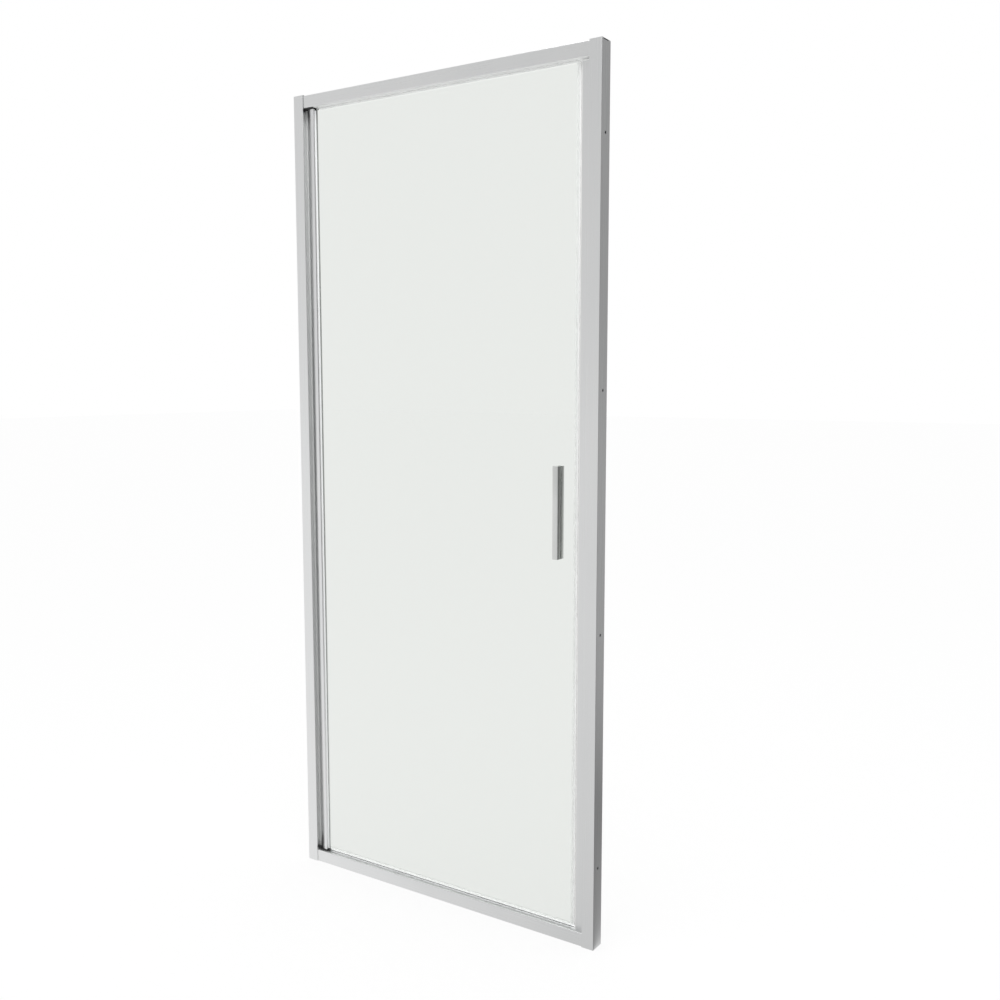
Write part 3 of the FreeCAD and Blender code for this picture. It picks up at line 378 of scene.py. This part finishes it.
def top_blade():
    """Seal in the rail's slot: a root with a barb, a neck and thin lips on the rail's underside,
    and under it a clear blade with a full round edge over the glass."""
    blade_head, right_end = 1819.85, 376.4
    blade = rounded([(-2.6, 1815.5), (2.6, 1815.5), (3.0, 1818.0), (3.0, blade_head),
                     (-3.0, blade_head), (-3.0, 1818.0)], [2.0, 2.0, 0.8, 0.05, 0.05, 0.8])
    half_root = [(13.2, 1819.9), (13.6, 1820.93), (3.85, 1820.95), (3.85, 1822.6), (6.5, 1822.6),
                 (6.0, 1823.8)]
    radii = [0.3, 0.15, 0.05, 0.2, 0.3, 0.4]
    root = rounded(half_root + mirrored(half_root), radii + radii[::-1])
    grids = [level(outline, STILE_EDGE, right_end) for outline in (blade, root)]
    piece = skinned("top_blade_seal", "frame", PALE_LEVEL, grids, ["top_seal_strip"])
    coat_above(piece, PALE_ROOT, blade_head + 0.02)


def coat_above(piece, finish, height):
    """Give the faces whose middle lies above this height a second finish."""
    mesh = piece.data
    middles = np.empty(len(mesh.polygons) * 3)
    mesh.polygons.foreach_get("center", middles)
    mesh.materials.append(finish.material)
    is_above = middles[2::3] > height * MM
    mesh.polygons.foreach_set("material_index", is_above.astype(np.int32))


def drip_fins():
    """Seal under the glass: legs that thin towards the glass, a wiping fin, and a fin that curves
    to the inside as a bend."""
    right_end, fin_root, fin_tip = 340.9, 33.0, 30.0
    inner_leg = [(4.2, 34.2), (4.1, 36.2), (3.6, 38.2), (3.05, 38.2), (3.05, 34.45)]
    leg_radii = [0.0, 0.6, 0.25, 0.2, 0.2]
    base = rounded(inner_leg + mirrored(inner_leg) + [(-4.1, fin_root)],
                   leg_radii + leg_radii[::-1] + [0.8])
    fin_front = bend((-0.7, fin_root), (-0.8, 31.6), (-1.5, fin_tip))
    fin_back = bend((-0.7, fin_tip), (0.1, 31.4), (0.3, fin_root))
    throw_under = bend((3.0, fin_root), (5.2, 32.4), (6.0, fin_tip))
    throw_over = bend((6.7, fin_tip), (6.2, fin_root), inner_leg[0])
    outline = np.concatenate((
        base, [(-0.8, fin_root)], fin_front, [(-1.5, fin_tip), (-0.8, fin_tip)], fin_back,
        [(0.3, fin_root), (2.9, fin_root)], throw_under, [(6.0, fin_tip), (6.7, fin_tip)],
        throw_over))
    rings = level(outline, STILE_EDGE, right_end, SHARP_END)
    skinned("drip_fin_seal", "door", CLEAR_DRIP, [rings], ["bottom_drip_seal"])


def gap_blade():
    """Blade seal beside the stile: a root in the jamb's groove, and a lip that thins and curves to
    the front as a bend."""
    foot, head = 30.9, 1819.1
    lip_top, lip_under = (-384.2, 4.2), (-384.2, 3.0)
    tip = [(-376.0, 3.2), (-375.97, 2.9), (-376.2, 2.7)]
    over = bend(lip_top, (-379.5, 4.5), tip[0])
    under = bend(tip[-1], (-379.5, 3.7), lip_under)
    root = [(-384.8, 3.0), (-384.9, 2.65), (-386.6, 2.65), (-386.6, 4.55), (-384.9, 4.55),
            (-384.8, 4.2)]
    root = rounded(root, [0.0, 0.15, 0.3, 0.3, 0.15, 0.0], steps=4)
    outline = np.concatenate((root, [lip_top], over, tip, under, [lip_under]))
    rings = upright(outline, foot, head, SHARP_END)
    skinned("gap_blade_seal", "frame", PALE_UPRIGHT, [rings], ["hinge_gap_seal"])


def glazing_channel():
    """Channel in the stile's rebate: two walls round the glass, each ending in a thin rounded lip
    on its face."""
    front = [(-348.1, -3.04), (-348.4, -3.5), (-350.9, -4.15), (-360.35, -4.15)]
    rear = [(-360.35, 4.15), (-351.0, 4.15), (-348.9, 3.5), (-348.6, 3.04)]
    inside = [(-359.25, 3.04), (-359.25, -3.04)]
    outline = rounded(front + rear + inside, [0.1, 0.35, 0.6, 0.4, 0.4, 0.3, 0.2, 0.1, 0.1, 0.1])
    rings = upright(outline, GLASS_FOOT, GLASS_HEAD)
    skinned("glazing_lips", "door", GASKET, [rings], ["glazing_gasket"])


def magnet_bars():
    """Magnet strips: a bar with rounded edges and, on the frame's, a fine groove down the middle
    of its face."""
    foot, head = 29.2, 1815.2
    face = [(352.5, -3.6), (352.5, -0.5), (353.0, 0.0), (352.5, 0.5), (352.5, 3.6)]
    back = [(353.4, 4.0), (356.9, 2.45), (356.9, -2.45), (353.4, -4.0)]
    frame_bar = rounded(face + back, [0.4, 0.1, 0.2, 0.1, 0.4, 0.3, 0.2, 0.2, 0.3], steps=4)
    rings = upright(frame_bar, foot, head)
    skinned("magnet_bar_frame", "frame", MAGNET, [rings], ["strike_magnet_strip"])
    door_bar = rounded([(347.95, -2.55), (351.05, -2.55), (351.05, 2.55), (347.95, 2.55)], 0.5)
    rings = upright(door_bar, GLASS_FOOT, GLASS_HEAD)
    skinned("magnet_bar_door", "door", MAGNET, [rings], ["door_magnet_strip"])


# ---------------------------------------------------------------- handle and fixings

HANDLE_X, HANDLE_FOOT, HANDLE_HEAD = 303.0, 824.5, 1019.5
HANDLE_SEAT, HANDLE_FACE = 3.5, 14.4
BOLT_LEVELS, BUTTON_SEAT = (852.0, 992.0), 14.2
CLAMP_SIDES = {"left": -388.5, "right": 388.5}
CLAMP_LEVELS, CLAMP_SEAT = (325.0, 925.0, 1525.0), 18.05
CAP_SIDES, FINE_SIDES = 40, 48
UPSIDE_DOWN = (1.0, -1.0, -1.0)
# Rings over a screw's head, as shares of its radius: a few at the rim, more over the recess.
HEAD_SHARES = np.concatenate((np.linspace(1.0, 0.74, 4), np.linspace(0.7, 0.02, 16)))


def towards_shower(grid, x, z, seat):
    """A surface of revolution laid over, with its axis on +Y at this X and Z, and its foot at the
    seat."""
    return grid[:, :, [1, 2, 0]] + np.array((x, seat, z))


def pull_bars():
    """Bars on the two faces of the glass: flanks that close in by 3 degrees away from it, rounded
    edges and ends."""
    half_seat, half_face = 7.15, 6.6
    corners = [(HANDLE_X - half_seat, HANDLE_SEAT), (HANDLE_X + half_seat, HANDLE_SEAT),
               (HANDLE_X + half_face, HANDLE_FACE), (HANDLE_X - half_face, HANDLE_FACE)]
    outline = rounded(corners, [0.4, 0.4, 1.1, 1.1], steps=8)
    for side, out in (("outer", -1.0), ("inner", 1.0)):
        rings = upright(outline * (1.0, out), HANDLE_FOOT, HANDLE_HEAD, soft=0.7)
        skinned(f"{side}_pull_bar", "door", CHROME, [rings], [f"{side}_handle"])


def dome(radius, edge, rise, last, steps):
    """Profile of a dome: height edge + rise cos(u) over the radius R sin(u), with u from a right
    angle down to the last."""
    tilt = np.linspace(math.pi / 2, last, steps)
    return np.stack((radius * np.sin(tilt), edge + rise * np.cos(tilt)), axis=1)


def bolt_buttons():
    """Buttons over the handle bolts: a short straight side under a low dome."""
    side = [(4.2, 0.0), (4.4, 0.2)]
    profile = np.concatenate((side, dome(radius=4.4, edge=0.55, rise=0.45, last=0.1, steps=10)))
    button = turned(profile, FINE_SIDES)
    buttons = [towards_shower(button, HANDLE_X, z, BUTTON_SEAT) for z in BOLT_LEVELS]
    skinned("bolt_buttons", "door", CHROME, buttons, ["handle_bolt_plugs"])


def snap_domes():
    """Caps over the clamp screws, hollow: outside, a straight rim under a dome; inside, a plain
    bore and ceiling round the screw head."""
    cavity = [(0.3, 1.7), (3.5, 1.7), (3.7, 1.5), (3.7, 0.0), (4.3, 0.0), (4.4, 0.15)]
    profile = np.concatenate((cavity, dome(radius=4.4, edge=1.4, rise=1.0, last=0.08, steps=12)))
    shell = turned(profile, CAP_SIDES)
    for side, x in CLAMP_SIDES.items():
        domes = [towards_shower(shell, x, z, CLAMP_SEAT) for z in CLAMP_LEVELS]
        skinned(f"{side}_snap_domes", "frame", GREY_PLASTIC, domes, [f"{side}_clamp_screw_caps"])


def cross(r, angle, head, slot):
    """How far a point lies inside a cross recess: slot - r |sin 2 a|, and no further out than its
    reach, 0.68 of the head's radius."""
    reach = 0.68 * head
    return np.minimum(slot - r * np.abs(np.sin(2 * angle)), reach - r)


def hexagon(r, angle, half):
    """How far a point lies inside a hexagon: half its width across flats - r cos(a'), with a' from
    the middle of the nearest flat."""
    sixth = math.pi / 3
    return half - r * np.cos((angle + sixth / 2) % sixth - sixth / 2)


def screw(stem, rim, rise, depth, recess, **size):
    """Screw that points down. Its stem is turned, and its head is rim + rise (1 - (r / R)^2) above
    the stem, lowered by depth where the recess is above zero, over a flank of 0.12."""
    radius, flank = stem[-1][0], 0.12
    share = HEAD_SHARES[:, None]
    angle = np.linspace(0.0, 2 * math.pi, FINE_SIDES, endpoint=False)[None]
    r = share * radius
    sunk = np.clip(recess(r, angle, **size) / flank, 0.0, 1.0) * depth
    height = rim + rise * (1 - share ** 2) - sunk
    rings = np.broadcast_arrays(r * np.cos(angle), r * np.sin(angle), height)
    return np.concatenate((turned(stem, FINE_SIDES), np.stack(rings, axis=2)))


def corner_screws():
    """Pan-head screws in the ports: down through the rail's lips, and up through the sill's."""
    down = screw([(0.3, -21.4), (1.6, -20.2), (1.7, 0.0), (3.2, 0.0)], rim=0.35, rise=1.6,
                 depth=1.3, recess=cross, head=3.2, slot=0.55)
    rail_seat, sill_seat = 1822.5, 27.5
    places = [(x, y) for x in (-386.0, 386.0) for y in (-10.5, 10.5)]
    screws = [down + np.array((x, y, rail_seat)) for x, y in places]
    screws += [down * UPSIDE_DOWN + np.array((x, y, sill_seat)) for x, y in places]
    skinned("corner_cross_screws", "frame", STEEL, screws, ["frame_corner_screws"])


def bearing_cross_screws():
    """Countersunk screws, flush with the bearings' plates: heads down under the rail, heads up on
    the sill."""
    sunk = screw([(0.2, -8.9), (1.1, -8.0), (1.25, -1.2), (2.5, -0.06)], rim=-0.03, rise=0.0,
                 depth=0.9, recess=cross, head=2.5, slot=0.4)
    places = [(-355.5, y) for y in (-5.8, 5.8)]
    top_plate, bottom_plate = 1819.5, 30.5
    screws = [sunk * UPSIDE_DOWN + np.array((x, y, top_plate)) for x, y in places]
    screws += [sunk + np.array((x, y, bottom_plate)) for x, y in places]
    skinned("bearing_cross_screws", "frame", STEEL, screws, ["bearing_screws"])


def clamp_screws():
    """Pan-head screws under the snap caps, into the jambs."""
    pan = screw([(0.3, -9.85), (1.7, -8.8), (1.85, 0.0), (3.55, 0.0)], rim=0.35, rise=1.1,
                depth=1.0, recess=cross, head=3.55, slot=0.6)
    for side, x in CLAMP_SIDES.items():
        screws = [towards_shower(pan, x, z, CLAMP_SEAT) for z in CLAMP_LEVELS]
        skinned(f"{side}_clamp_cross_screws", "frame", STEEL, screws, [f"{side}_clamp_screws"])


def block_screws():
    """Set screws with a hexagon socket, from the back of the stile into the pivot blocks."""
    plug = screw([(1.2, -11.4), (1.95, -10.7), (1.95, -0.25), (1.7, 0.0)], rim=0.0, rise=0.0,
                 depth=1.6, recess=hexagon, half=1.0)
    pivot_x, stile_back, block_levels = -366.5, 8.3, (44.3, 1805.7)
    screws = [towards_shower(plug, pivot_x, z, stile_back) for z in block_levels]
    skinned("block_socket_screws", "door", STEEL, screws, ["pivot_block_screws"])


for make in (top_blade, drip_fins, gap_blade, glazing_channel, magnet_bars, pull_bars,
             bolt_buttons, snap_domes, corner_screws, bearing_cross_screws, clamp_screws,
             block_screws):
    make()


# ---------------------------------------------------------------- softened edges of CAD nodes

MERGED_WITHIN = 0.01
EDGE_TURN = math.radians(40.0)
EDGE_STEPS = 2
# The width of the rounding, and the nodes that have it.
SOFTENED = {
    0.25: ("left_wall_profile", "right_wall_profile", "top_rail", "bottom_sill", "hinge_jamb",
           "strike_jamb"),
    0.3: ("hinge_stile",),
    0.2: ("left_top_cap", "right_top_cap", "top_pivot_block", "bottom_pivot_block"),
}


def soften(piece, width):
    """Merge the node's loose triangles and round every edge that turns by more than 40 degrees."""
    weld = piece.modifiers.new("weld", "WELD")
    weld.merge_threshold = MERGED_WITHIN * MM
    bevel = piece.modifiers.new("bevel", "BEVEL")
    bevel.width, bevel.segments = width * MM, EDGE_STEPS
    bevel.limit_method, bevel.angle_limit = "ANGLE", EDGE_TURN
    bevel.harden_normals = False


for width, names in SOFTENED.items():
    for name in names:
        soften(NODES[name], width)


# ---------------------------------------------------------------- studio

# A way is a direction in the room. A span gives the cosines of the angle to it over which the
# level runs, and a level of 1 is white.
WINDOW_WAY, WINDOW_SPAN, WINDOW_LEVELS = (-0.8, 0.6, 0.0), (-1.0, 1.0), (0.47, 1.08)
CARD_WAY, CARD_SPAN, CARD_LEVELS = (0.94, 0.34, 0.0), (0.38, 0.97), (1.0, 0.12)
OVERHEAD_WAY, OVERHEAD_SPAN, OVERHEAD_LEVELS = (0.0, 0.0, 1.0), (0.0, 0.9), (1.0, 0.65)
SKY_WAY, SKY_SPAN, SKY_LEVELS = (-0.5, 0.7, 0.5), (0.85, 0.97), (1.0, 1.7)
WINDOW_CENTRE = (0.404, 0.9, 0.0)
CARD_CORNER = (0.404, -0.018, 0.0)
# ROOM_LEVEL is the level that lights all but metal, FLOOR_LIFT multiplies what metal sees of the
# floor, and FLOOR_GLOW is the share of white in the floor that the camera sees.
ROOM_LEVEL = 0.95
FLOOR_LIFT = 1.12
FLOOR_GLOW = 0.86
FLOOR_HALF = 30.0
WHITE = (1.0, 1.0, 1.0, 1.0)
FLOOR_WHITE = (0.95, 0.95, 0.95, 1.0)
WHOLE = (0.0, 1.0)
CAMERA_PLACE, CAMERA_TILT, CAMERA_TURN = (1.4147, -1.9179, 1.1957), 83.62, 33.23
CAMERA_LENS, CAMERA_SENSOR = 38.66, 36.0


class Backdrop(Shading):
    """What lies round the object: white to the camera and through glass, and to metal a room with
    a window and a dark card."""

    def __init__(self, tree):
        super().__init__(tree)
        tree.nodes.clear()
        self.path = self.add("ShaderNodeLightPath").outputs

    def maths(self, operation, first, second):
        """The result of a maths operation on two values."""
        node = self.add("ShaderNodeMath", {0: first, 1: second}, operation=operation)
        return node.outputs["Value"]

    def towards(self, way, aim):
        """Cosine of the angle between a way and an aim."""
        node = self.add("ShaderNodeVectorMath", {0: way, 1: aim}, operation="DOT_PRODUCT")
        return node.outputs["Value"]

    def from_point(self, place, centre):
        """Unit way from a centre to a place."""
        way = self.add("ShaderNodeVectorMath", {0: place, 1: centre}, operation="SUBTRACT")
        unit = self.add("ShaderNodeVectorMath", {0: way.outputs["Vector"]}, operation="NORMALIZE")
        return unit.outputs["Vector"]

    def room(self, to_window, to_card):
        """How bright the room is this way: brightest at the window and in a patch of sky, dimmer
        overhead, dark at the card."""
        smooth = {"interpolation_type": "SMOOTHSTEP"}
        window = self.ranged(self.towards(to_window, WINDOW_WAY), *WINDOW_LEVELS, WINDOW_SPAN)
        card = self.ranged(self.towards(to_card, CARD_WAY), *CARD_LEVELS, CARD_SPAN, **smooth)
        overhead = self.ranged(self.towards(to_window, OVERHEAD_WAY), *OVERHEAD_LEVELS,
                               OVERHEAD_SPAN)
        sky = self.ranged(self.towards(to_window, SKY_WAY), *SKY_LEVELS, SKY_SPAN, **smooth)
        level = self.maths("MULTIPLY", self.maths("MULTIPLY", window, card), overhead)
        return self.maths("MULTIPLY", level, sky)

    def seen(self):
        """One where the camera looks straight or through glass, but not by way of metal."""
        direct = self.ranged(self.path["Glossy Depth"], 1.0, 0.0, WHOLE)
        through = self.maths("MULTIPLY", self.path["Is Transmission Ray"], direct)
        return self.maths("MAXIMUM", self.path["Is Camera Ray"], through)

    def light(self, kind, to_window, to_card, lift=1.0):
        """Emission: white where the camera sees it, the room this way to metal, plain to the
        rest."""
        room = self.maths("MULTIPLY", self.room(to_window, to_card), lift)
        shade = self.ranged(self.path["Is Glossy Ray"], ROOM_LEVEL, room, WHOLE)
        level = self.ranged(self.seen(), shade, 1.0, WHOLE)
        return self.add(kind, {"Color": WHITE, "Strength": level}).outputs[0]


def studio_world():
    """The room round the object, read by direction."""
    world = bpy.data.worlds.new("studio")
    bpy.context.scene.world = world
    world.use_nodes = True
    room = Backdrop(world.node_tree)
    way = room.add("ShaderNodeTexCoord").outputs["Generated"]
    light = room.light("ShaderNodeBackground", way, way)
    room.add("ShaderNodeOutputWorld", {"Surface": light})


def studio_floor():
    """Pale floor that keeps the object's shadow, and joins the white of the room."""
    corners = [(x * FLOOR_HALF, y * FLOOR_HALF, 0.0)
               for x, y in ((-1, -1), (1, -1), (1, 1), (-1, 1))]
    mesh = bpy.data.meshes.new("studio_floor")
    mesh.from_pydata(corners, [], [(0, 1, 2, 3)])
    floor = bpy.data.objects.new("studio_floor", mesh)
    bpy.context.collection.objects.link(floor)
    material = bpy.data.materials.new("pale_floor")
    material.use_nodes = True
    room = Backdrop(material.node_tree)
    place = room.add("ShaderNodeTexCoord").outputs["Object"]
    ways = [room.from_point(place, centre) for centre in (WINDOW_CENTRE, CARD_CORNER)]
    light = room.light("ShaderNodeEmission", *ways, FLOOR_LIFT)
    matt = room.add("ShaderNodeBsdfDiffuse", {"Color": FLOOR_WHITE}).outputs["BSDF"]
    share = room.ranged(room.seen(), room.path["Is Glossy Ray"], FLOOR_GLOW, WHOLE)
    mixed = room.add("ShaderNodeMixShader", {0: share, 1: matt, 2: light}).outputs["Shader"]
    room.add("ShaderNodeOutputMaterial", {"Surface": mixed})
    mesh.materials.append(material)


def soft_lamp(name, place, aim, size, watts):
    """Round soft lamp at a place, turned to its aim."""
    data = bpy.data.lights.new(name, "AREA")
    data.shape = "DISK"
    data.size = size
    data.energy = watts
    lamp = bpy.data.objects.new(name, data)
    lamp.location = place
    way = np.subtract(aim, place)
    tilt = math.acos(-way[2] / np.linalg.norm(way))
    lamp.rotation_euler = (tilt, 0.0, math.atan2(-way[0], way[1]))
    bpy.context.collection.objects.link(lamp)


def studio_camera():
    """Camera at the photograph's viewpoint."""
    data = bpy.data.cameras.new("camera")
    data.lens = CAMERA_LENS
    data.sensor_width = CAMERA_SENSOR
    camera = bpy.data.objects.new("camera", data)
    camera.location = CAMERA_PLACE
    camera.rotation_euler = (math.radians(CAMERA_TILT), 0.0, math.radians(CAMERA_TURN))
    bpy.context.collection.objects.link(camera)
    bpy.context.scene.camera = camera


studio_camera()
studio_world()
studio_floor()
soft_lamp("overhead_lamp", place=(0.4, -0.9, 3.6), aim=(0.0, 0.0, 0.9), size=1.6, watts=25.0)
bpy.context.scene.view_settings.view_transform = "Standard"
